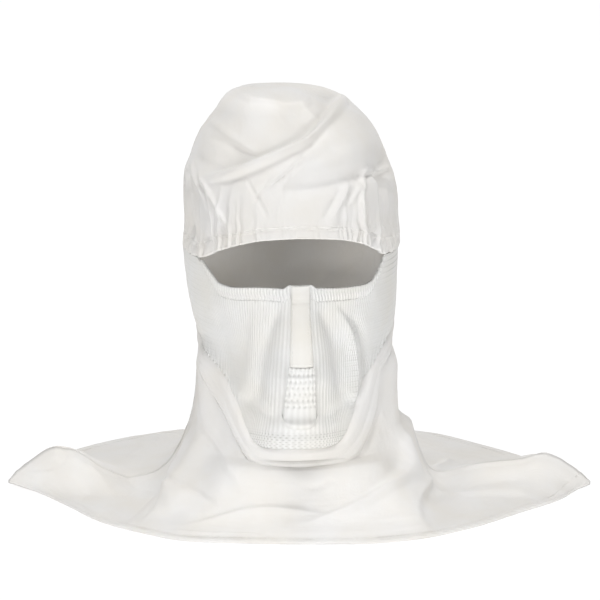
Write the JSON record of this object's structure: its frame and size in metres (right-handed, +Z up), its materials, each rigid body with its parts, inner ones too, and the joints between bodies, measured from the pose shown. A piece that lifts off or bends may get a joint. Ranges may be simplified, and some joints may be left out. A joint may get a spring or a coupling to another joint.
{
  "type": "anti-flash hood",
  "caption": "White cotton hood with a shoulder cape, a gathered elastic brow over an open eye slot, and a knitted face mask with a nose tape.",
  "frame": {"origin": "the crown's inner face where it rests on the top of a head", "axes": "+Z up through the crown, -Y the way the face looks, +X to the wearer's left"},
  "size_m": [0.43, 0.2912, 0.2961],
  "materials": {
    "cotton": "white woven cotton, matt",
    "knit": "white rib-knitted cotton, matt",
    "tape": "off-white woven cotton tape, matt"
  },
  "bodies": {
    "root": {"crown_front": "cotton", "brow_casing": "cotton", "back_panel": "cotton", "front_bib": "cotton", "face_binding": "cotton", "face_mask": "knit", "mask_band": "knit", "nose_tape": "tape", "mouth_panel": "knit"}
  },
  "joints": []
}
